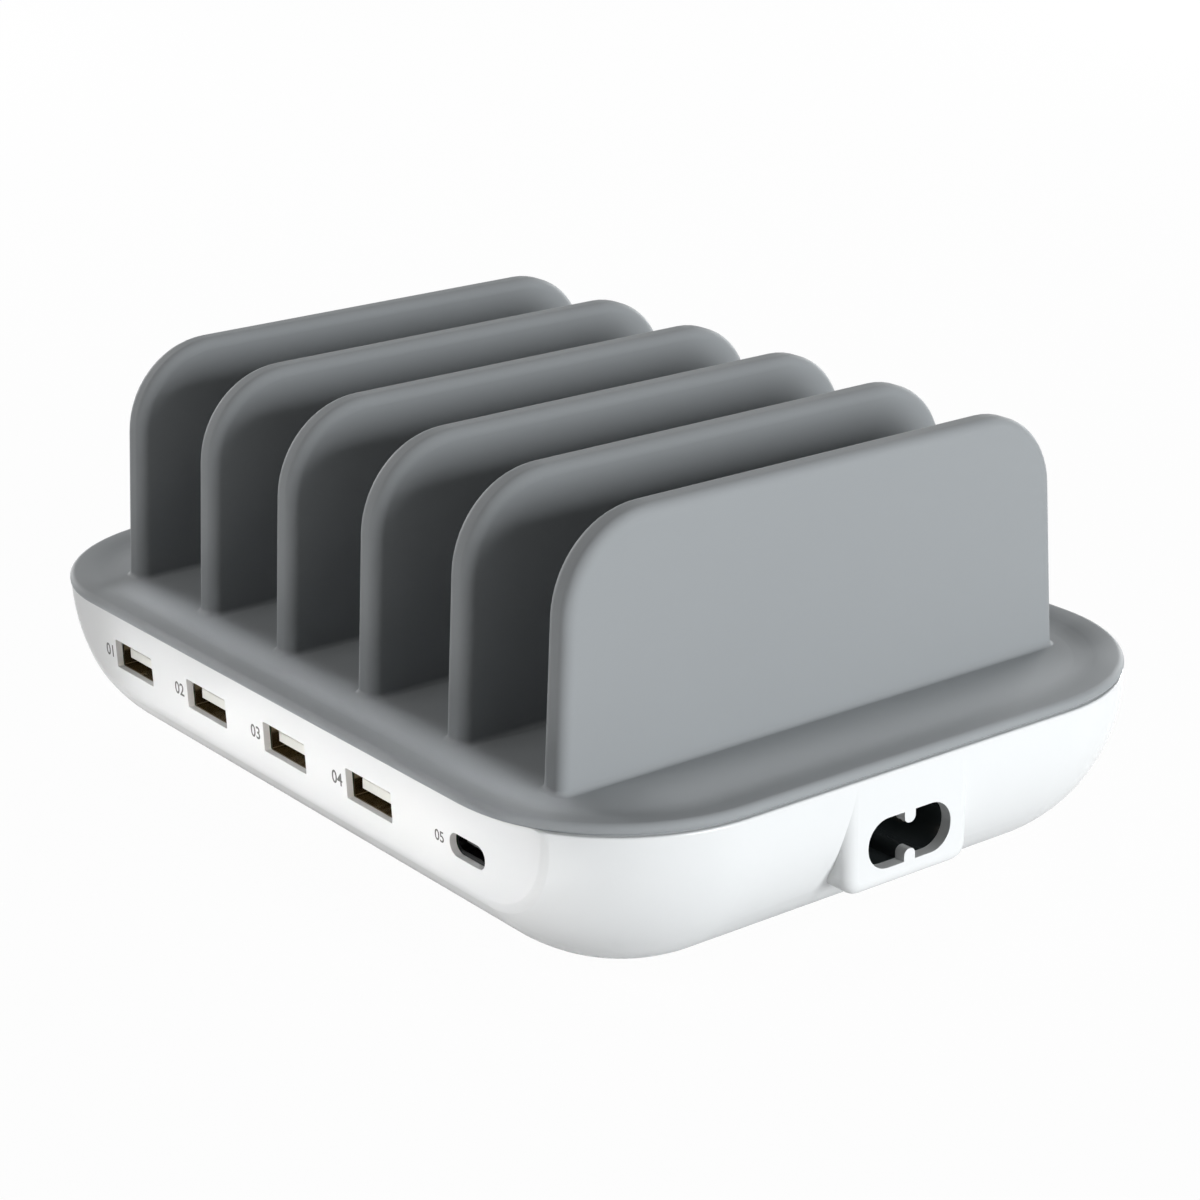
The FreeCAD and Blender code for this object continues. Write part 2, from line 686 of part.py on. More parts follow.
def draw_fin(sketch, inset, foot):
    """The side view of a divider, inset all round: a straight foot, leaning ends and round corners."""
    top = rim + fin_height - inset
    foot_half = fin_length / 2 - inset + tangent(fin_draft) * (dish_level - foot)
    lean = math.radians(fin_draft.number)
    top_half = foot_half.number - math.tan(lean) * (top.number - foot.number)
    toes = [Vector(side * foot_half.number, foot.number, 0) for side in (-1, 1)]
    base = sketch.addGeometry(Part.LineSegment(*toes), False)
    shoulders = [Vector(side * top_half / 2, top.number, 0) for side in (-1, 1)]
    crest = sketch.addGeometry(Part.LineSegment(*shoulders), False)
    for side, end, corner in ((-1, 1, fin_front_corner - inset), (1, 2, fin_back_corner - inset)):
        radius = corner.number
        middle = top_half - radius / math.tan((math.pi / 2 + lean) / 2)
        turn = lean if side > 0 else math.pi / 2
        whole = Part.Circle(Vector(side * middle, top.number - radius, 0), upright, radius)
        arc = sketch.addGeometry(Part.ArcOfCircle(whole, turn, turn + math.pi / 2 - lean), False)
        reach, rise = middle + radius * math.cos(lean), top.number - radius * (1 - math.sin(lean))
        line = sketch.addGeometry(Part.LineSegment(toes[end - 1], Vector(side * reach, rise, 0)), False)
        sketch.addConstraint(Sketcher.Constraint("Coincident", base, end, line, 1))
        sketch.addConstraint(Sketcher.Constraint("Tangent", line, 2, arc, 3 - end))
        sketch.addConstraint(Sketcher.Constraint("Tangent", arc, end, crest, end))
        hold(sketch, Sketcher.Constraint("Radius", arc, radius), corner)
        hold_point(sketch, line, 1, side * foot_half, foot)
        angle = 90 + side * fin_draft
        hold(sketch, Sketcher.Constraint("Angle", line, math.radians(angle.number)), angle)
    sketch.addConstraint(Sketcher.Constraint("Horizontal", crest))
    hold(sketch, Sketcher.Constraint("DistanceY", -1, 1, crest, 1, top.number), top)


def top_cover():
    body = new_body("top_cover")
    lip_top = rim + lip_height
    first_fin = -fin_pitch * (fin_count - 1) / 2
    lip_low = rim + seam_gap
    sketch = sketch_on(body, "XY_Plane", lip_low)
    outline(sketch, -half_length, half_length, -half_depth, half_depth, corner_radius, corner_radius)
    extrude(body, "Pad", sketch, lip_height - seam_gap)
    round_edges(body, lip_round, lambda edge: lies_at(edge, lip_top))
    round_edges(body, seam_round, lambda edge: lies_at(edge, lip_low))
    sketch = sketch_on(body, "XY_Plane", lip_low)
    x, y, radius = half_length - seam_depth, half_depth - seam_depth, corner_radius - seam_depth
    outline(sketch, -x, x, -y, y, radius, radius)
    extrude(body, "Pad", sketch, seam_gap, back=True)

    sketch = sketch_on(body, "XY_Plane", lip_top)
    x, y, radius = half_length - lip_width, half_depth - lip_width, corner_radius - lip_width
    outline(sketch, -x, x, -y, y, radius, radius)
    extrude(body, "Pocket", sketch, dish_depth, taper=-dish_slope)
    x, y = half_length - lip_round, half_depth - lip_round
    round_edges(body, dish_round, lambda edge: lies_within(edge, x, y)
                and (lies_at(edge, dish_level) or lies_at(edge, lip_top)))

    sketch = sketch_on(body, "XY_Plane", rim)
    draw_skirt(sketch, cover_gap)
    extrude(body, "Pad", sketch, skirt_depth, back=True)
    sketch = sketch_on(body, "XY_Plane", rim - skirt_depth)
    draw_skirt(sketch, cover_gap + skirt_wall)
    extrude(body, "Pocket", sketch, skirt_depth - (rim - ceiling), back=True)

    sketch = sketch_on(body, "YZ_Plane", first_fin)
    draw_fin(sketch, nothing, ceiling)
    fin = extrude(body, "Pad", sketch, fin_thickness, both=True)
    repeat(body, [fin], fin_pitch, fin_count)
    fin_round = (fin_thickness - fin_flat) / 2
    round_edges(body, fin_round, lambda edge: edge.BoundBox.XLength < 1e-4 and rises_above(edge, lip_top))
    x, y = fin_thickness - first_fin, fin_length / 2 + fin_foot_round
    round_edges(body, fin_foot_round, lambda edge: lies_at(edge, dish_level) and lies_within(edge, x, y))
    sketch = sketch_on(body, "YZ_Plane", first_fin)
    draw_fin(sketch, fin_skin, ceiling - wall)
    core = extrude(body, "Pocket", sketch, fin_core, both=True)
    repeat(body, [core], fin_pitch, fin_count)

    sketch = sketch_on(body, "XY_Plane", ceiling)
    for x, y in foot_places:
        circle(sketch, x, y, boss_diameter)
    extrude(body, "Pad", sketch, ceiling - column_top, back=True)
    sketch = sketch_on(body, "XY_Plane", column_top)
    for x, y in foot_places:
        circle(sketch, x, y, hole_diameter)
    thread_depth = case_screw_length + head_seat - column_height
    extrude(body, "Pocket", sketch, thread_depth + thread_run_out, back=True)
    sketch = sketch_on(body, "XY_Plane", ceiling)
    outline(sketch, saddle_middle - rib_thickness / 2, saddle_middle + rib_thickness / 2,
            inlet_shift - rib_width / 2, inlet_shift + rib_width / 2)
    extrude(body, "Pad", sketch, ceiling - inlet_level - inlet_height / 2 - socket_gap, back=True)
    return body


node(top_cover(), "top_cover")


# Feet and case screws


def screw(x, y, seat, length, upward=False):
    """A pan-head screw whose head bears on a seat."""
    if upward:
        return fuse(rod(x, y, seat - head_height, head_diameter, head_height),
                    rod(x, y, seat, screw_diameter, length))
    return fuse(rod(x, y, seat, head_diameter, head_height),
                rod(x, y, seat - length, screw_diameter, length))


sole_diameter = foot_diameter - 2 * foot_chamfer
foot_length = foot_height + foot_recess - foot_chamfer
for index, (x, y) in enumerate(foot_places, 1):
    node(fuse(taper(x, y, nothing, sole_diameter, foot_diameter, foot_chamfer),
              rod(x, y, foot_chamfer, foot_diameter, foot_length)), f"rubber_foot_{index}")
case_seat = foot_height + head_seat
node(group(*[screw(x, y, case_seat, case_screw_length, upward=True) for x, y in foot_places]), "case_screws")


# USB-A receptacles: a folded steel shell, a moulded tongue and four contacts under it

tongue_low = port_level + usb_a_mouth_height / 2 - tongue_gap - tongue_thickness
tongue_tip = socket_front + tongue_recess
tongue_root = tongue_tip + tongue_length
tongue_width = usb_a_mouth_width - 2 * tongue_side


def sleeve(x, width, height, radius, thickness, length):
    """A shell of thin sheet round a socket's mouth, open at both ends."""
    body = new_body("sleeve")
    sketch = sketch_on(body, "XZ_Plane", -socket_front)
    for grow in (nothing, thickness):
        half_width, half_height = width / 2 + grow, height / 2 + grow
        outline(sketch, x - half_width, x + half_width, port_level - half_height, port_level + half_height,
                radius + grow, radius + grow)
    extrude(body, "Pad", sketch, length, back=True)
    return body


def usb_a_insulator(x):
    """The moulding that closes the back of the shell and carries the tongue."""
    length = socket_front + usb_a_length - tongue_root
    width, height = usb_a_mouth_width - 2 * socket_gap, usb_a_mouth_height - 2 * socket_gap
    root = block(x, tongue_root + length / 2, port_level - height / 2, width, length, height)
    middle = (tongue_tip + tongue_root) / 2
    return fuse(root, block(x, middle, tongue_low, tongue_width, tongue_length, tongue_thickness))


def usb_a_contacts(x):
    length = tongue_length - contact_inset
    y, z = tongue_root - length / 2, tongue_low - contact_thickness
    lines = [x + (index - 1.5) * contact_pitch for index in range(4)]
    return group(*[block(line, y, z, contact_width, length, contact_thickness) for line in lines])


for index, x in enumerate(usb_a_places, 1):
    node(sleeve(x, usb_a_mouth_width, usb_a_mouth_height, usb_a_corner, usb_a_sheet, usb_a_length),
         f"usb_a_shell_{index}")
    node(usb_a_insulator(x), f"usb_a_insulator_{index}")
    node(usb_a_contacts(x), f"usb_a_contacts_{index}")


# USB-C receptacle: a seamless shell, raised on its moulded base to the height of the others

usb_c_tip = socket_front + usb_c_tongue_recess
usb_c_root = usb_c_tip + usb_c_tongue_length
usb_c_tongue_width = usb_c_mouth_width - 2 * usb_c_tongue_side


def usb_c_insulator():
    """A base under the shell, a wall behind it, a plug in its back end and the tongue."""
    back = socket_front + usb_c_length
    end = back + usb_c_wall
    half_height = usb_c_mouth_height / 2 + usb_c_sheet
    width = usb_c_mouth_width + 2 * usb_c_sheet
    plug_width, plug_height = usb_c_mouth_width - usb_c_mouth_height, usb_c_mouth_height - 2 * socket_gap
    pieces = []
    for y0, y1, z0, z1, across in (
            (socket_front, end, port_board_top, port_level - half_height, width),
            (back, end, port_board_top, port_level + half_height, width),
            (usb_c_root, end, port_level - plug_height / 2, port_level + plug_height / 2, plug_width),
            (usb_c_tip, usb_c_root, usb_c_tongue_low, usb_c_tongue_high, usb_c_tongue_width)):
        pieces.append(block(usb_c_place, (y0 + y1) / 2, z0, across, y1 - y0, z1 - z0))
    return fuse(*pieces)


def usb_c_contacts():
    length = usb_c_tongue_length - usb_c_contact_inset
    lines = [usb_c_place + (index - 5.5) * usb_c_contact_pitch for index in range(12)]
    rows = (usb_c_tongue_high, usb_c_tongue_low - usb_c_contact_thickness)
    return group(*[block(x, usb_c_root - length / 2, z, usb_c_contact_width, length, usb_c_contact_thickness)
                   for x in lines for z in rows])


usb_c_tongue_low = port_level - usb_c_tongue_thickness / 2
usb_c_tongue_high = port_level + usb_c_tongue_thickness / 2
usb_c_round = usb_c_mouth_height / 2 - slot_flat / 2
node(sleeve(usb_c_place, usb_c_mouth_width, usb_c_mouth_height, usb_c_round, usb_c_sheet, usb_c_length),
     "usb_c_shell")
node(usb_c_insulator(), "usb_c_insulator")
node(usb_c_contacts(), "usb_c_contacts")


# Mains inlet: a figure-8 socket with two pins, held between the boss and its saddle

pin_lines = {"live": inlet_shift - pin_spacing / 2, "neutral": inlet_shift + pin_spacing / 2}
pin_end = inlet_face - inlet_depth - tag_length
pin_length = tag_length + inlet_back + pin_reach - pin_tip
along_x = FreeCAD.Rotation(Vector(0, 1, 0), 90)


def inlet_body():
    """The socket's block with its ears, its cavity with a ridge from each tab, and its pin holes."""
    body = new_body("inlet_body")
    low, high = inlet_level - inlet_height / 2, inlet_level + inlet_height / 2
    for half_width, depth in ((inlet_width / 2, inlet_depth), (inlet_width / 2 + ear_width, ear_thickness)):
        sketch = sketch_on(body, "YZ_Plane", inlet_face)
        left, right = inlet_shift - half_width, inlet_shift + half_width
        outline(sketch, left, right, low, high, inlet_wall, inlet_wall)
        extrude(body, "Pad", sketch, depth, back=True)
    sketch = sketch_on(body, "YZ_Plane", inlet_face)
    draw_inlet_slot(sketch)
    extrude(body, "Pocket", sketch, inlet_cavity)
    sketch = sketch_on(body, "YZ_Plane", inlet_face)
    draw_inlet_tabs(sketch, inlet_wall / 2)
    extrude(body, "Pad", sketch, inlet_cavity, back=True)
    sketch = sketch_on(body, "YZ_Plane", inlet_face)
    for y in pin_lines.values():
        circle(sketch, y, inlet_level, pin_diameter + pin_gap)
    extrude(body, "Pocket", sketch, inlet_depth)
    return body


node(inlet_body(), "inlet_body")
for line, y in pin_lines.items():
    shank = rod(pin_end, y, inlet_level, pin_diameter, pin_length, along_x)
    tip = taper(pin_end + pin_length, y, inlet_level, pin_diameter, pin_diameter - pin_tip, pin_tip, along_x)
    node(fuse(shank, tip), f"inlet_pin_{line}")


# Port board with a charge controller behind each socket


def board(length, depth, middle, top, places):
    """A circuit board with its screw holes, clear of the columns of the base."""
    low = top - board_thickness
    holes = [rod(x, y, low, hole_diameter, board_thickness) for x, y in places]
    holes += [rod(x, y, low, column_diameter + 2 * column_gap, board_thickness) for x, y in foot_places]
    return cut(block(nothing, middle, low, length, depth, board_thickness), *holes)


def board_screws(top, places):
    return group(*[screw(x, y, top, board_screw_length) for x, y in places])


port_board_middle = (port_board_front + port_board_back) / 2
port_board_length = case_length - 2 * port_board_end
chip_y = socket_front + usb_a_length + chip_gap + chip_width / 2
node(board(port_board_length, port_board_depth, port_board_middle, port_board_top, port_screw_places),
     "port_board")
node(board_screws(port_board_top, port_screw_places), "port_board_screws")
for index, x in enumerate(usb_a_places + [usb_c_place], 1):
    node(block(x, chip_y, port_board_top, chip_length, chip_width, chip_height),
         f"charge_controller_{index}")


# Power board with the mains filter, the rectifier, the switching stage and the output stage

front_row = power_board_front + front_inset
middle_row = power_board_middle
back_row = power_board_back - back_inset - bulk_diameter / 2
sink_y = front_row + sink_rib_reach


def on_board(x, y, length, width, height):
    return block(x, y, power_board_top, length, width, height)


def collar(x, y, z, height, bore_x, bore_y, thickness):
    """A square ring of even thickness round a square bore."""
    ring = block(x, y, z, bore_x + 2 * thickness, bore_y + 2 * thickness, height)
    return cut(ring, block(x, y, z, bore_x, bore_y, height))


def choke():
    """A square ferrite ring standing on edge, with a coil round each upright leg."""
    low, height = power_board_top + choke_leg, choke_height - 2 * choke_leg
    window = block(choke_x, middle_row, low, choke_length - 2 * choke_leg, choke_depth, height)
    node(cut(on_board(choke_x, middle_row, choke_length, choke_depth, choke_height), window), "choke_core")
    low, height = low + choke_gap, height - 2 * choke_gap
    bore_x, bore_y = choke_leg + 2 * choke_gap, choke_depth + 2 * choke_gap
    for index, side in enumerate((-1, 1), 1):
        leg = choke_x + side * (choke_length - choke_leg) / 2
        node(collar(leg, middle_row, low, height, bore_x, bore_y, choke_turns), f"choke_coil_{index}")


def transformer():
    """An E-shaped ferrite core, a bobbin round its middle leg and the winding on the bobbin."""
    x, y = transformer_x, middle_row
    window = (core_length - 2 * core_leg - core_middle_leg) / 2
    height = core_height - 2 * core_leg
    low = power_board_top + core_leg
    shift = (core_middle_leg + window) / 2
    windows = [block(x + side * shift, y, low, window, core_depth, height) for side in (-1, 1)]
    node(cut(on_board(x, y, core_length, core_depth, core_height), *windows), "transformer_core")

    low, height = low + bobbin_gap, height - 2 * bobbin_gap
    bore_x, bore_y = core_middle_leg + 2 * bobbin_gap, core_depth + 2 * bobbin_gap
    flange = window - 2 * bobbin_gap
    flanges = [collar(x, y, level, bobbin_wall, bore_x, bore_y, flange)
               for level in (low, low + height - bobbin_wall)]
    node(fuse(collar(x, y, low, height, bore_x, bore_y, bobbin_wall), *flanges), "transformer_bobbin")

    inset = bobbin_wall + bobbin_gap
    node(collar(x, y, low + inset, height - 2 * inset, bore_x + 2 * inset, bore_y + 2 * inset,
                flange - inset - winding_margin), "transformer_winding")


def heat_sink():
    """An upright plate with ribs on its front."""
    first = sink_x - sink_length / 2 + sink_rib / 2
    pitch = (sink_length - sink_rib) / (sink_rib_count - 1)
    middle = sink_y - sink_rib_reach / 2
    ribs = [on_board(first + index * pitch, middle, sink_rib, sink_rib_reach, sink_height)
            for index in range(sink_rib_count)]
    return fuse(on_board(sink_x, sink_y + sink_plate / 2, sink_length, sink_plate, sink_height), *ribs)


def switching_transistor():
    """A tab against the heat sink, the body on the tab and three legs."""
    low = power_board_top + transistor_leg_length
    back = sink_y + sink_plate + transistor_tab
    middle = back + transistor_body / 2
    width = transistor_width
    tab = block(sink_x, back - transistor_tab / 2, low, width, transistor_tab, transistor_tab_height)
    body = block(sink_x, middle, low, width, transistor_body, transistor_body_height)
    legs = [on_board(sink_x + step * transistor_leg_pitch, middle,
                     transistor_leg, transistor_leg, transistor_leg_length) for step in (-1, 0, 1)]
    return fuse(tab, body, *legs)


node(board(power_board_length, power_board_depth, power_board_middle, power_board_top, power_screw_places),
     "power_board")
node(board_screws(power_board_top, power_screw_places), "power_board_screws")
fuse_level = power_board_top + fuse_diameter / 2 + seat_gap
node(rod(fuse_x - fuse_length / 2, back_row, fuse_level, fuse_diameter, fuse_length, along_x), "fuse")
node(on_board(x_capacitor_x, front_row + x_capacitor_width / 2,
              x_capacitor_length, x_capacitor_width, x_capacitor_height), "x_capacitor")
choke()
node(on_board(bridge_x, back_row, bridge_length, bridge_width, bridge_height), "bridge_rectifier")
for index, x in enumerate((bulk_x, bulk_x - bulk_pitch), 1):
    node(rod(x, back_row, power_board_top, bulk_diameter, bulk_height), f"bulk_capacitor_{index}")
transformer()
node(heat_sink(), "heat_sink")
node(switching_transistor(), "switching_transistor")
output_y = front_row + output_diameter / 2
for index, x in enumerate((output_x, output_x + output_pitch), 1):
    node(rod(x, output_y, power_board_top, output_diameter, output_height), f"output_capacitor_{index}")
node(on_board(opto_x, middle_row, opto_width, opto_length, opto_height), "opto_coupler")


# Leads: straight runs and round bends, each end square to what it meets


def lead(*points):
    """A round lead through points, every turn on the same bend."""
    stops = [Vector(*[where.number for where in point]) for point in points]
    bend = lead_bend.number
    path, start = [], stops[0]
    for before, corner, after in zip(stops, stops[1:], stops[2:]):
        way_in = (corner - before).normalize()
        way_out = (after - corner).normalize()
        bend_start = corner - way_in * bend
        bend_end = corner + way_out * bend
        middle = corner + (way_out - way_in) * bend * (1 - math.sqrt(0.5))
        path.append(Part.LineSegment(start, bend_start).toShape())
        path.append(Part.Arc(bend_start, middle, bend_end).toShape())
        start = bend_end
    path.append(Part.LineSegment(start, stops[-1]).toShape())
    ring = Part.makeCircle(lead_diameter.number / 2, stops[0], (stops[1] - stops[0]).normalize())
    piece = doc.addObject("Part::Feature", "lead")
    piece.Shape = Part.Wire(path).makePipeShell([Part.Wire(ring)], True, False)
    return piece


solder_x = power_board_length / 2 - mains_inset
for line, y in pin_lines.items():
    node(lead((pin_end, y, inlet_level), (solder_x, y, inlet_level), (solder_x, y, power_board_top)),
         f"mains_lead_{line}")
lead_top = port_board_top + lead_rise
lead_back, lead_front = power_board_front + output_inset, port_board_back - port_inset
lead_middle = (slots[1] + slots[2]) / 2
for x, pole in ((lead_middle - lead_pitch / 2, "negative"), (lead_middle + lead_pitch / 2, "positive")):
    node(lead((x, lead_back, power_board_top), (x, lead_back, lead_top),
              (x, lead_front, lead_top), (x, lead_front, port_board_top)), f"output_lead_{pole}")
print(f"leads bend on {lead_bend.number / lead_diameter.number:.1f} diameters")


# Check every piece and write its file

doc.recompute()
for piece in doc.Objects:
    broken = [state for state in piece.State if state in ("Invalid", "Error")]
    if broken:
        raise RuntimeError(f"{piece.Name} ({piece.Label}) is {broken[0]}")
os.makedirs("parts", exist_ok=True)
for piece in nodes:
    shape = piece.Shape
    if shape.isNull() or not shape.isValid():
        raise RuntimeError(f"{piece.Label} has no valid shape")
    shape.exportStep(f"parts/{piece.Label}.step")
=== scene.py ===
import math

import bmesh
import bpy
from mathutils import Matrix, Vector


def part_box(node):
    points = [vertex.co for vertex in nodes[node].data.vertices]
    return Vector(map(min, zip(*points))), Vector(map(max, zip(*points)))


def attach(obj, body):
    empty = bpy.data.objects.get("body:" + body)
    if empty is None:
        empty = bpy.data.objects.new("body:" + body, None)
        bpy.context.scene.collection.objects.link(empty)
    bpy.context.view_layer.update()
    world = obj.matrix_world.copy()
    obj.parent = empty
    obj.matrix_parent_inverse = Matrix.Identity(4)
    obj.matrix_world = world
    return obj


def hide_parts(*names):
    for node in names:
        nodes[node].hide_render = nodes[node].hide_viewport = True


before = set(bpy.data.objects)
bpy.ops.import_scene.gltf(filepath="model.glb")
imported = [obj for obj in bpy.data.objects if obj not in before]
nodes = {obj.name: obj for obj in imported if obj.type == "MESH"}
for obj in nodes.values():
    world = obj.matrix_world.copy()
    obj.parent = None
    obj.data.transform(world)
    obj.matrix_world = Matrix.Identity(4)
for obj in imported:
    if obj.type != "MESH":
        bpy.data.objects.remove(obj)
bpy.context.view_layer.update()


# Base shell: the bowl that everything is fixed to, with the port panel and the inlet boss in the same shot.
# Glossy white ABS, injection-moulded in a polished tool, so it is even in colour and mirrors soft shapes.

MM = 0.001
NOISE_LOW, NOISE_HIGH = 0.3, 0.7  # most of a noise texture lies between these


def linear(colour):
    """The linear RGBA of an sRGB hex value."""
    parts = [int(colour[at:at + 2], 16) / 255 for at in (1, 3, 5)]
    return [part / 12.92 if part <= 0.04045 else ((part + 0.055) / 1.055) ** 2.4 for part in parts] + [1]


def add(tree, kind, sockets=None, **settings):
    """Add a node with its settings, and a value or a link for each socket named."""
    item = tree.nodes.new("ShaderNode" + kind)
    for name, value in settings.items():
        setattr(item, name, value)
    for name, value in (sockets or {}).items():
        if isinstance(value, bpy.types.NodeSocket):
            tree.links.new(value, item.inputs[name])
        else:
            item.inputs[name].default_value = value
    return item


def new_material(name):
    """An empty material, its node tree and the Object coordinates in that tree."""
    material = bpy.data.materials.new(name)
    material.use_nodes = True
    tree = material.node_tree
    tree.nodes.clear()
    return material, tree, add(tree, "TexCoord").outputs["Object"]


def toned(colour, share):
    """The linear RGBA of a colour taken so far towards white, or towards black if the share is negative."""
    goal = 1 if share > 0 else 0
    return [part + (goal - part) * abs(share) for part in linear(colour)[:3]] + [1]


def per_mm(width):
    """The texture scale, on coordinates in metres, of a pattern so many millimetres wide."""
    return 1 / (width * MM)


def moulded(name, colour, roughness, ior=1.5, shine=0.5, flow=25, mottle=0.04, grain=0.35, depth=0.004,
            drift=0.04):
    """A moulded plastic or rubber: colour that drifts with the flow of the melt, gloss that drifts with it,
    and the grain that the tool leaves. Widths and depth are in millimetres. Real grain is finer than a tenth
    of a millimetre, so it is drawn coarser, as far as it needs to show."""
    material, tree, place = new_material(name)
    stream = add(tree, "TexNoise", {"Vector": place, "Scale": per_mm(flow), "Detail": 3}).outputs["Fac"]
    tint = add(tree, "MixRGB", {"Fac": stream, "Color1": toned(colour, -mottle),
                                "Color2": toned(colour, mottle)})
    gloss = add(tree, "MapRange", {"Value": stream, "From Min": NOISE_LOW, "From Max": NOISE_HIGH,
                                   "To Min": roughness - drift, "To Max": roughness + drift})
    pits = add(tree, "TexNoise", {"Vector": place, "Scale": per_mm(grain), "Detail": 2}).outputs["Fac"]
    bump = add(tree, "Bump", {"Height": pits, "Distance": depth * MM})
    surface = add(tree, "BsdfPrincipled", {"Base Color": tint.outputs[0], "Roughness": gloss.outputs[0],
                                           "IOR": ior, "Specular IOR Level": shine,
                                           "Normal": bump.outputs[0]})
    add(tree, "OutputMaterial", {"Surface": surface.outputs[0]})
    return material


def dress(material, *names):
    """Give CAD nodes a material."""
    for name in names:
        nodes[name].material_slots[0].material = material


white_abs = moulded("glossy white ABS", "#EAEBEB", 0.2, ior=1.53, flow=60, mottle=0.006, grain=0.8,
                    depth=0.0006)
dress(white_abs, "base_shell")


# Port board: the circuit board behind the panel, with a charge controller behind each socket.
# Glass-fibre laminate under green solder mask, whose weave still shows, and black moulded epoxy chips.

ONE_WAVE = math.tau / 20  # texture scale at which a wave is one unit long
WEAVE_RELIEF = 0.01 * MM


def laminate(name, gaps, threads, weave):
    """Solder mask over woven glass: two crossed sets of threads show as a faint grid. The weave is in mm."""
    material, tree, place = new_material(name)
    pitch = per_mm(weave) * ONE_WAVE
    warp = add(tree, "TexWave", {"Vector": place, "Scale": pitch}, bands_direction="X")
    weft = add(tree, "TexWave", {"Vector": place, "Scale": pitch}, bands_direction="Y")
    cloth = add(tree, "MixRGB", {"Fac": 0.5, "Color1": warp.outputs[0], "Color2": weft.outputs[0]})
    tint = add(tree, "MixRGB", {"Fac": cloth.outputs[0], "Color1": linear(gaps), "Color2": linear(threads)})
    bump = add(tree, "Bump", {"Height": cloth.outputs[0], "Distance": WEAVE_RELIEF})
    surface = add(tree, "BsdfPrincipled", {"Base Color": tint.outputs[0], "Roughness": 0.3,
                                           "Normal": bump.outputs[0]})
    add(tree, "OutputMaterial", {"Surface": surface.outputs[0]})
    return material


board_laminate = laminate("green FR-4 laminate", "#1F5E33", "#2E7A45", 0.5)
chip_epoxy = moulded("black epoxy", "#1C1C1E", 0.55, grain=0.1)
dress(board_laminate, "port_board", "power_board")
dress(chip_epoxy, *[f"charge_controller_{index}" for index in range(1, 6)],
      "bridge_rectifier", "switching_transistor", "opto_coupler")


# Screws: pan heads that hold the two boards to their posts and the cover to the base.
# Steel wire, cold-headed and zinc-plated, so bright with a faint cloudiness.

LINE_STRETCH = 20  # length of a rolling line over its width
LINE_RELIEF = 0.002 * MM


def plated(name, colour, roughness, cloud=2.0, haze=0.06, line=0.25, stain=0.25):
    """Bare or plated metal: a reflection that is hazy in patches, with fine lines from rolling or drawing.
    Widths are in millimetres. Real lines are hundredths of one, so they are drawn coarser to show at all."""
    material, tree, place = new_material(name)
    patches = add(tree, "TexNoise", {"Vector": place, "Scale": per_mm(cloud), "Detail": 4}).outputs["Fac"]
    gloss = add(tree, "MapRange", {"Value": patches, "From Min": NOISE_LOW, "From Max": NOISE_HIGH,
                                   "To Min": roughness - haze, "To Max": roughness + haze})
    tint = add(tree, "MixRGB", {"Fac": patches, "Color1": toned(colour, -stain), "Color2": linear(colour)})
    across, along = per_mm(line), per_mm(LINE_STRETCH * line)
    stretched = add(tree, "Mapping", {"Vector": place, "Scale": (across, along, across)})
    lines = add(tree, "TexNoise", {"Vector": stretched.outputs[0], "Scale": 1}).outputs["Fac"]
    bump = add(tree, "Bump", {"Height": lines, "Distance": LINE_RELIEF})
    surface = add(tree, "BsdfPrincipled", {"Base Color": tint.outputs[0], "Roughness": gloss.outputs[0],
                                           "Metallic": 1.0, "Normal": bump.outputs[0]})
    add(tree, "OutputMaterial", {"Surface": surface.outputs[0]})
    return material


zinc_steel = plated("zinc-plated steel", "#BFC3C8", 0.3)
dress(zinc_steel, "port_board_screws", "power_board_screws", "case_screws")


# Power supply: fuse, mains filter, rectifier, transformer, heat sink and capacitors on the power board.
# Each has its trade's own finish: ceramic, potted film box, sintered ferrite, enamelled wire, shrunk sleeve.

GAP_SHADE = -0.6  # how much darker it is between two turns


def wound(name, colour, wire, roughness, metallic):
    """Turns of wire or tape, so many millimetres wide, laid side by side, so ridged from turn to turn."""
    material, tree, place = new_material(name)
    turns = add(tree, "TexWave", {"Vector": place, "Scale": per_mm(wire) * ONE_WAVE}, bands_direction="Z")
    tint = add(tree, "MixRGB", {"Fac": turns.outputs[0], "Color1": toned(colour, GAP_SHADE),
                                "Color2": linear(colour)})
    bump = add(tree, "Bump", {"Height": turns.outputs[0], "Distance": wire / 2 * MM})
    surface = add(tree, "BsdfPrincipled", {"Base Color": tint.outputs[0], "Roughness": roughness,
                                           "Metallic": metallic, "Normal": bump.outputs[0]})
    add(tree, "OutputMaterial", {"Surface": surface.outputs[0]})
    return material


dress(moulded("white ceramic", "#E9E6DE", 0.35, grain=0.15), "fuse")
dress(moulded("yellow polypropylene box", "#D9A514", 0.4), "x_capacitor")
dress(moulded("sintered ferrite", "#3B3A3C", 0.6, grain=0.12, depth=0.02), "choke_core", "transformer_core")
dress(wound("enamelled copper wire", "#B4562B", 0.6, 0.25, 0.9), "choke_coil_1", "choke_coil_2")
dress(moulded("brown phenolic", "#2A1D18", 0.45), "transformer_bobbin")
dress(wound("yellow polyester tape", "#D8B02A", 3.0, 0.3, 0.0), "transformer_winding")
dress(plated("anodised aluminium", "#A9ABAE", 0.42), "heat_sink")
dress(moulded("dark PVC sleeve", "#23263A", 0.3, grain=0.5), "bulk_capacitor_1", "bulk_capacitor_2",
      "output_capacitor_1", "output_capacitor_2")


# Leads: mains leads from the inlet to the power board, and output leads from there to the port board.
# Stranded copper in extruded PVC, smooth with a slight waxy gloss, in the usual wiring colours.

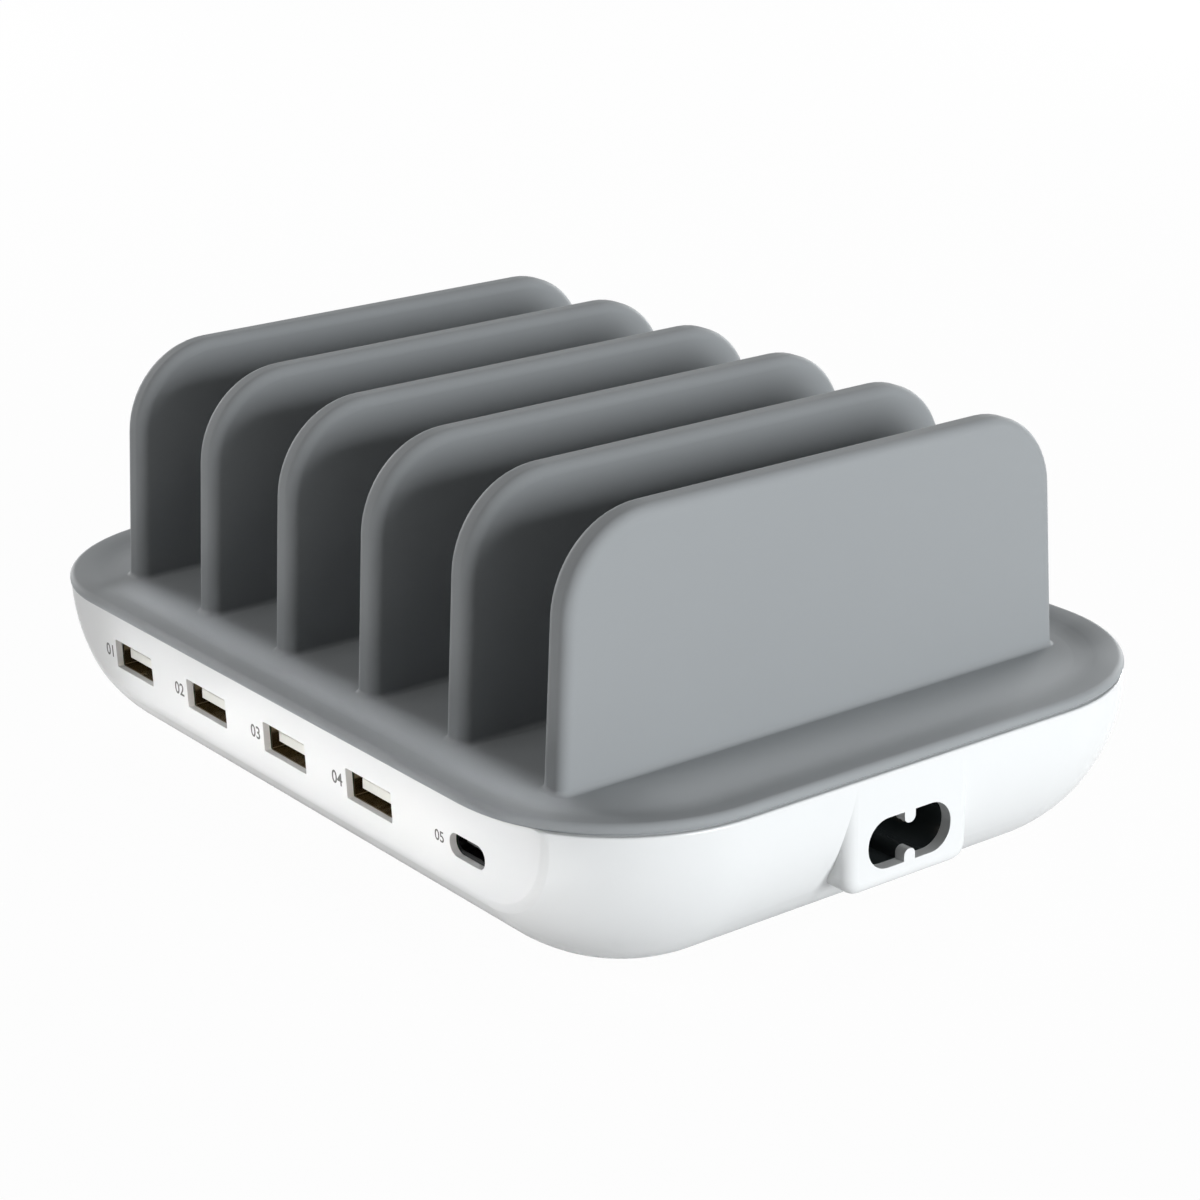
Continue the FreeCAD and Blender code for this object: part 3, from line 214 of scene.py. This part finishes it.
wiring = {"mains_lead_live": ("brown", "#5A3320"), "mains_lead_neutral": ("blue", "#2456A4"),
          "output_lead_positive": ("red", "#B3211F"), "output_lead_negative": ("black", "#1B1B1C")}
for name, (shade, colour) in wiring.items():
    dress(moulded(f"{shade} PVC insulation", colour, 0.4, grain=0.2, depth=0.002), name)


# USB-A receptacles: shells folded from tinned steel strip, each round a white nylon tongue with four
# gold-plated contacts. Every shell has leaf springs pressed out of its floor and sides, which grip the plug.

socket_steel = plated("tinned steel strip", "#A99B80", 0.22, cloud=4, stain=0.08)
socket_nylon = moulded("white nylon", "#DFDED8", 0.4, grain=0.2)
contact_gold = plated("gold-plated bronze", "#D9A94E", 0.2, cloud=0.8)
STRIP = 0.3 * MM
SPRING_WIDTH = 1.8 * MM
SPRING_LENGTH = 6.5 * MM
SPRING_SETBACK = 1.2 * MM  # from the mouth of the shell
SPRING_BOW = 0.55 * MM
SPRING_SPACING = 5.6 * MM
LEAF_SWING = 0.85  # share of a full wave that a leaf bows through, so that its tip stays off the wall
ROOT_LENGTH = 3.4 * MM
ROOT_RIM = 0.3 * MM
TONGUE_WIDTH = 8.4 * MM
TONGUE_THICKNESS = 1.84 * MM
TONGUE_DROP = 1.35 * MM  # from the roof of the shell
TONGUE_SETBACK = 0.05 * MM  # from the mouth of the shell
TONGUE_EDGE = 0.25 * MM
CONTACT_SHEET = 0.15 * MM
CONTACT_WIDTH = 1.0 * MM
CONTACT_LENGTH = 7.8 * MM
CONTACT_PITCH = 2.0 * MM
CONTACT_SETBACK = 0.9 * MM  # from the tip of the tongue
CONTACT_BOW = 0.3 * MM
SHARP = math.radians(40)  # edges that turn more than this stay crisp


def leaf(sheet, width, length, bow, turn, seat):
    """Add one leaf spring: a strip that leaves its wall, bows into the mouth and turns back at its tip."""
    made = bmesh.ops.create_grid(sheet, x_segments=3, y_segments=16, size=0.5)["verts"]
    for vert in made:
        along = vert.co.y + 0.5
        rise = (1 - math.cos(math.tau * LEAF_SWING * along)) / 2
        vert.co = Vector((vert.co.x * width, along * length, bow * rise))
    bmesh.ops.transform(sheet, matrix=Matrix.Translation(seat) @ turn, verts=made)


def tongue_moulding(low, high, tip, under):
    """The block that plugs the back of a shell, with the tongue drawn out of its front to the tip."""
    block = bmesh.new()
    root = bmesh.ops.create_cube(block, size=1)["verts"]
    middle = (low + high) / 2
    bmesh.ops.scale(block, vec=(high.x - low.x, ROOT_LENGTH, high.z - low.z), verts=root)
    bmesh.ops.translate(block, vec=(middle.x, high.y - ROOT_LENGTH / 2, middle.z), verts=root)
    front = min(block.faces, key=lambda face: face.calc_center_median().y)
    bmesh.ops.inset_region(block, faces=[front], thickness=ROOT_RIM)
    for vert in front.verts:
        vert.co.x = middle.x + math.copysign(TONGUE_WIDTH / 2, vert.co.x - middle.x)
        vert.co.z = under + (TONGUE_THICKNESS if vert.co.z > middle.z else 0)
    drawn = bmesh.ops.extrude_face_region(block, geom=[front])["geom"]
    end = next(item for item in drawn if isinstance(item, bmesh.types.BMFace))
    bmesh.ops.translate(block, vec=(0, tip - high.y + ROOT_LENGTH, 0), verts=end.verts)
    bmesh.ops.bevel(block, geom=end.edges[:], offset=TONGUE_EDGE, offset_type="OFFSET", affect="EDGES",
                    segments=3, profile=0.5, material=-1)
    return block


def mesh_piece(name, form, material):
    """Make a bmesh a piece of the object, smooth but for its sharp edges, at the origin."""
    mesh = bpy.data.meshes.new(name)
    form.to_mesh(mesh)
    form.free()
    mesh.shade_smooth()
    mesh.set_sharp_from_angle(angle=SHARP)
    mesh.materials.append(material)
    piece = bpy.data.objects.new(name, mesh)
    bpy.context.scene.collection.objects.link(piece)
    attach(piece, "root")
    return piece


spring = SPRING_WIDTH, SPRING_LENGTH, SPRING_BOW
contact = CONTACT_WIDTH, CONTACT_LENGTH, CONTACT_BOW
face_down = Matrix.Rotation(math.pi, 4, "Y")
for index in range(1, 5):
    dress(socket_steel, f"usb_a_shell_{index}")
    low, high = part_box(f"usb_a_shell_{index}")
    middle = (low + high) / 2
    front = low.y + SPRING_SETBACK
    springs = bmesh.new()
    for side in (-1, 1):
        floor_seat = Vector((middle.x + side * SPRING_SPACING / 2, front, low.z + STRIP))
        leaf(springs, *spring, Matrix(), floor_seat)
        wall_seat = Vector((middle.x + side * ((high.x - low.x) / 2 - STRIP), front, middle.z))
        leaf(springs, *spring, Matrix.Rotation(-side * math.pi / 2, 4, "Y"), wall_seat)
    bmesh.ops.solidify(springs, geom=springs.faces[:], thickness=STRIP)
    mesh_piece(f"usb_a_springs_{index}", springs, socket_steel)
    tip = low.y + TONGUE_SETBACK
    under = high.z - STRIP - TONGUE_DROP - TONGUE_THICKNESS
    block = tongue_moulding(*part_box(f"usb_a_insulator_{index}"), tip, under)
    tongue = mesh_piece(f"usb_a_tongue_{index}", block, socket_nylon)
    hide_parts(f"usb_a_insulator_{index}")
    contacts = bmesh.new()
    for lane in (-1.5, -0.5, 0.5, 1.5):
        seat = Vector((middle.x + lane * CONTACT_PITCH, tip + CONTACT_SETBACK, under))
        leaf(contacts, *contact, face_down, seat)
    bmesh.ops.solidify(contacts, geom=contacts.faces[:], thickness=CONTACT_SHEET)
    contact_set = mesh_piece(f"usb_a_contact_set_{index}", contacts, contact_gold)
    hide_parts(f"usb_a_contacts_{index}")


# USB-C receptacle: a seamless drawn steel shell on a black moulded base, with a thin tongue between two rows
# of contacts. The mouth lies deep in its slot, so it reads as nearly black, and the shell is coloured
# near-black as painted shade for that.

# The shell is steel; its near-black colour is painted shade for the deep mouth of its slot.
dress(plated("steel shell darkened with painted shade", "#3A393A", 0.3), "usb_c_shell")
dress(moulded("black LCP", "#17181A", 0.45, grain=0.15), "usb_c_insulator")
dress(contact_gold, "usb_c_contacts")


# Mains inlet: a figure-8 socket block of black glass-filled PBT, held between the boss and its saddle.
# Its two pins are turned brass with a nickel plate.

dress(moulded("black PBT", "#1A2325", 0.14, grain=0.25, depth=0.001), "inlet_body")
dress(plated("nickel-plated brass", "#C9C3B6", 0.22), "inlet_pin_live", "inlet_pin_neutral")


# Cover: one moulding of plate and six hollow dividers, screwed down from below through the base.
# Gray ABS with a soft-touch lacquer: satin, very fine-grained and slightly cool in colour.

gray_abs = moulded("soft-touch gray ABS", "#9A9D9F", 0.65, shine=0.15, flow=40, mottle=0.015, grain=0.3,
                   depth=0.003)
dress(gray_abs, "top_cover")


# Feet: four round pads pressed into the base over the case screws.
# Gray silicone rubber, matte, with a coarse grain from its tool.

dress(moulded("gray silicone rubber", "#6E7070", 0.75, grain=0.25, depth=0.015),
      *[f"rubber_foot_{index}" for index in range(1, 5)])


# Port numbers: plain numerals to the left of each socket, so that the ports can be told apart.
# Pad-printed on the panel in thin dark gray ink.

ink = moulded("dark gray printing ink", "#4A4947", 0.5, flow=1.5, mottle=0.06, grain=0.15, depth=0.001)
INK_THICKNESS = 0.02 * MM
STROKE = 0.012  # added all round the thin strokes of the font, on letters of size 1
NUMBER_HEIGHT = 2.2 * MM
NUMBER_GAP = 1.1 * MM  # from the number to its shell
SMALL_HEIGHT = 1.8 * MM  # at the USB-C receptacle
SMALL_GAP = 1.7 * MM
panel = nodes["base_shell"]


def print_number(text, height, end, level):
    """Print a number on the panel, so high, that ends at this X and is centred on this level."""
    curve = bpy.data.curves.new(f"port_number_{text}", "FONT")
    curve.body = text
    curve.offset = STROKE
    words = bpy.data.objects.new(curve.name, curve)
    bpy.context.scene.collection.objects.link(words)
    bpy.context.view_layer.update()
    mesh = bpy.data.meshes.new_from_object(words.evaluated_get(bpy.context.evaluated_depsgraph_get()))
    bpy.data.objects.remove(words)
    spot, facing = panel.ray_cast(Vector((end, -1, level)), Vector((0, 1, 0)))[1:3]
    print_form = bmesh.new()
    print_form.from_mesh(mesh)
    bpy.data.meshes.remove(mesh)
    right = max(vert.co.x for vert in print_form.verts)
    top = max(vert.co.y for vert in print_form.verts)
    flat = Matrix.Scale(height / top, 4) @ Matrix.Translation((-right, -top / 2, 0))
    onto_panel = Matrix.Translation(spot) @ facing.to_track_quat("Z", "Y").to_matrix().to_4x4()
    bmesh.ops.transform(print_form, matrix=onto_panel @ flat, verts=print_form.verts)
    bmesh.ops.remove_doubles(print_form, verts=print_form.verts, dist=INK_THICKNESS / 4)
    bmesh.ops.solidify(print_form, geom=print_form.faces[:], thickness=-INK_THICKNESS)
    mesh_piece(f"port_number_{text}", print_form, ink)


labelled = [(f"usb_a_shell_{index}", NUMBER_HEIGHT, NUMBER_GAP) for index in range(1, 5)]
labelled.append(("usb_c_shell", SMALL_HEIGHT, SMALL_GAP))
for index, (shell, height, gap) in enumerate(labelled, 1):
    low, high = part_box(shell)
    print_number(f"{index:02d}", height, low.x - gap, (low.z + high.z) / 2)


# Stage: a white paper floor that keeps a faint shadow, and a white world, as in a product studio.
# Rays from the camera and from gloss see both as white. The object is lit by the lamps, by what the paper
# throws back of their light, and by a trace from the world.

scene = bpy.context.scene
scene.view_settings.view_transform = "Standard"
WHITE = (1, 1, 1, 1)
FLOOR_RADIUS = 3.0
FLOOR_GLOW = 0.97
CONTACT_SHADE = 30 * MM  # how far from the object the floor still mirrors dark
AMBIENT = 0.005


def seen_directly(tree, mirrored=1.0):
    """1 for rays from the camera, the mirrored level for those from gloss or glass, 0 for all others."""
    path = add(tree, "LightPath").outputs
    bent = add(tree, "Math", {0: path["Is Glossy Ray"], 1: path["Is Transmission Ray"]}, operation="MAXIMUM")
    shown = add(tree, "Math", {0: bent.outputs[0], 1: mirrored}, operation="MULTIPLY")
    return add(tree, "Math", {0: path["Is Camera Ray"], 1: shown.outputs[0]}, operation="MAXIMUM").outputs[0]


floor_white, tree, place = new_material("white paper floor")
fibres = add(tree, "TexNoise", {"Vector": place, "Scale": per_mm(40)}).outputs["Fac"]
paper = add(tree, "MixRGB", {"Fac": fibres, "Color1": linear("#DADADA"), "Color2": linear("#DEDEDE")})
matte = add(tree, "BsdfDiffuse", {"Color": paper.outputs[0]})
glow = add(tree, "Emission", {"Color": WHITE, "Strength": 1.0})
open_sky = add(tree, "AmbientOcclusion", {"Distance": CONTACT_SHADE}).outputs["AO"]
share = add(tree, "Math", {0: seen_directly(tree, open_sky), 1: FLOOR_GLOW}, operation="MULTIPLY")
both = add(tree, "MixShader", {0: share.outputs[0], 1: matte.outputs[0], 2: glow.outputs[0]})
add(tree, "OutputMaterial", {"Surface": both.outputs[0]})
disc = bmesh.new()
bmesh.ops.create_circle(disc, cap_ends=True, segments=96, radius=FLOOR_RADIUS)
mesh = bpy.data.meshes.new("floor")
disc.to_mesh(mesh)
disc.free()
mesh.materials.append(floor_white)
floor = bpy.data.objects.new("floor", mesh)
scene.collection.objects.link(floor)

world = bpy.data.worlds.new("studio")
scene.world = world
world.use_nodes = True
tree = world.node_tree
tree.nodes.clear()
level = add(tree, "MapRange", {"Value": seen_directly(tree), "To Min": AMBIENT, "To Max": 1.0})
sky = add(tree, "Background", {"Color": WHITE, "Strength": level.outputs[0]})
add(tree, "OutputWorld", {"Surface": sky.outputs[0]})


# Lamps: softboxes that stand round the object at one distance, a white card low before the panel,
# and narrow strips close by, whose small spread keeps each to the panel, the sockets or one side of the tray.

TARGET = Vector((0, 0, 39.25)) * MM
SOFTBOX_DISTANCE = 1.2
UP = Vector((0, 0, 1))


def direction(azimuth, elevation):
    """The way from the target out to a lamp or the camera: azimuth from the front towards the right."""
    across = math.cos(math.radians(elevation))
    turn = math.radians(azimuth)
    return Vector((math.sin(turn) * across, -math.cos(turn) * across, math.sin(math.radians(elevation))))


def lamp(name, place, way, width, height, power, colour="#FFFFFF", spread=180):
    """A rectangular softbox, strip or card that stands at a place and shines against the way given."""
    light = bpy.data.lights.new(name, "AREA")
    light.shape = "RECTANGLE"
    light.size, light.size_y = width, height
    light.energy = power
    light.color = linear(colour)[:3]
    light.spread = math.radians(spread)
    box = bpy.data.objects.new(name, light)
    box.location = place
    box.rotation_euler = way.to_track_quat("Z", "Y").to_euler()
    box.visible_camera = False
    scene.collection.objects.link(box)


def softbox(name, azimuth, elevation, width, height, power, colour="#FFFFFF"):
    """A lamp that faces the object from afar."""
    way = direction(azimuth, elevation)
    lamp(name, TARGET + way * SOFTBOX_DISTANCE, way, width, height, power, colour)


softbox("key_softbox", azimuth=100, elevation=10, width=0.5, height=0.5, power=13.2, colour="#FAFDFF")
softbox("left_softbox", azimuth=272, elevation=9, width=0.5, height=0.5, power=11.0)
softbox("back_softbox", azimuth=200, elevation=9, width=0.5, height=0.5, power=10.0)
softbox("top_softbox", azimuth=0, elevation=86, width=0.5, height=0.4, power=2.2)
softbox("front_strip", azimuth=354, elevation=14, width=0.15, height=0.4, power=2.3)
lamp("white_card", place=Vector((12, -92, 4)) * MM, way=Vector((0, 0, -1)),
     width=0.16, height=0.04, power=0.02)
lamp("panel_strip", place=Vector((10, -183, 106)) * MM, way=Vector((0, -0.82, 0.57)),
     width=0.13, height=0.02, power=0.0032, spread=8)
lamp("port_strip", place=Vector((114, -118, 24)) * MM, way=Vector((0.88, -0.45, 0.02)),
     width=0.05, height=0.012, power=0.0005, colour="#FFF4E6", spread=8)
lamp("right_tray_strip", place=Vector((76, 8, 234)) * MM, way=UP,
     width=0.01, height=0.1, power=0.0009, spread=5)
lamp("front_tray_strip", place=Vector((5, -55, 234)) * MM, way=UP,
     width=0.13, height=0.004, power=0.0013, spread=4)


# Camera: where the photograph was taken from, worked out from the edges of the case and the sockets.
# A long lens about half a metre away, slightly rolled, with a small shift for the framing.

CAMERA_AZIMUTH = 53.71
CAMERA_ELEVATION = 19.04
CAMERA_ROLL = -1.15
CAMERA_DISTANCE = 0.50477
lens = bpy.data.cameras.new("camera")
lens.sensor_width = 36
lens.lens = 88.38
lens.shift_x = 0.0247
lens.shift_y = -0.0228
lens.clip_start = 0.01
camera = bpy.data.objects.new("camera", lens)
stand = Matrix.Translation(TARGET + direction(CAMERA_AZIMUTH, CAMERA_ELEVATION) * CAMERA_DISTANCE)
turn = Matrix.Rotation(math.radians(CAMERA_AZIMUTH), 4, "Z")
tilt = Matrix.Rotation(math.radians(90 - CAMERA_ELEVATION), 4, "X")
roll = Matrix.Rotation(math.radians(CAMERA_ROLL), 4, "Z")
camera.matrix_world = stand @ turn @ tilt @ roll
scene.collection.objects.link(camera)
scene.camera = camera
